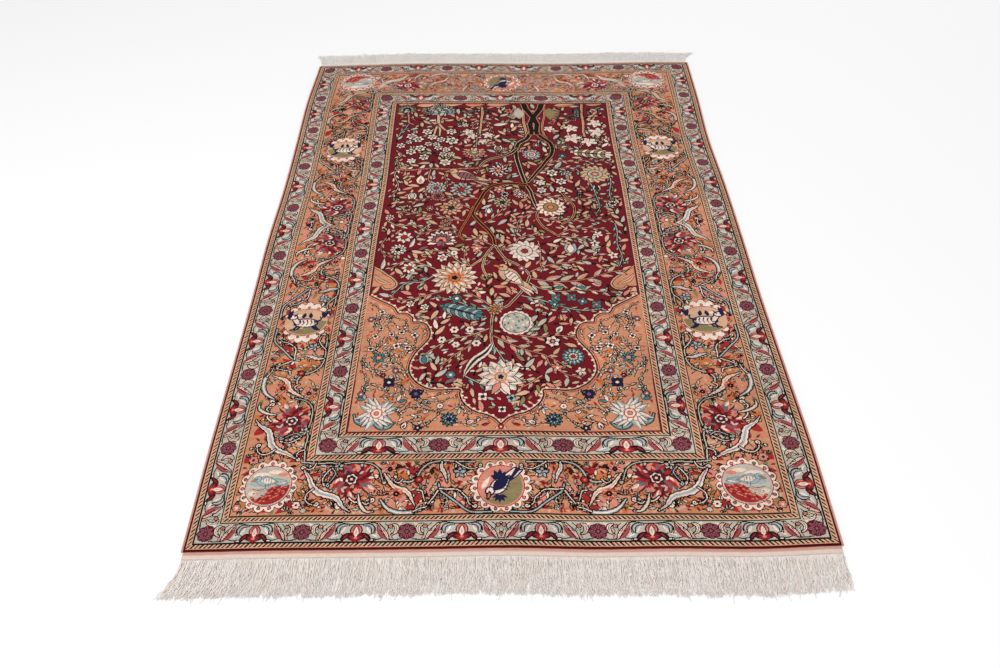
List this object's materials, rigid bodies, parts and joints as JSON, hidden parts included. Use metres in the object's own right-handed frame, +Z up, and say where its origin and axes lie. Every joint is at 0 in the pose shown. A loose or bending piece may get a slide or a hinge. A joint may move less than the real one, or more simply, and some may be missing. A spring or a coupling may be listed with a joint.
{
  "type": "kayseri rug",
  "caption": "Flat knotted prayer rug with a niche field, bordered pile, overcast sides and fringed ends, lying on a floor.",
  "frame": {"origin": "middle of the whole rug's underside, fringes included, on the floor", "axes": "+Z up, +Y along the rug from the end where the niche points to the far end, +X to the right seen from the -Y end"},
  "size_m": [1.0688, 1.7038, 0.0053],
  "materials": {
    "pile": "short silk pile with a soft sheen",
    "selvedge": "overcast yarn",
    "web": "plain flat weave",
    "fringe": "matt twisted cotton"
  },
  "bodies": {
    "root": {"pile": "pile", "selvedge_left": "selvedge", "selvedge_right": "selvedge", "end_web_near": "web", "end_web_far": "web", "fringe_near": "fringe", "fringe_far": "fringe"}
  },
  "joints": []
}
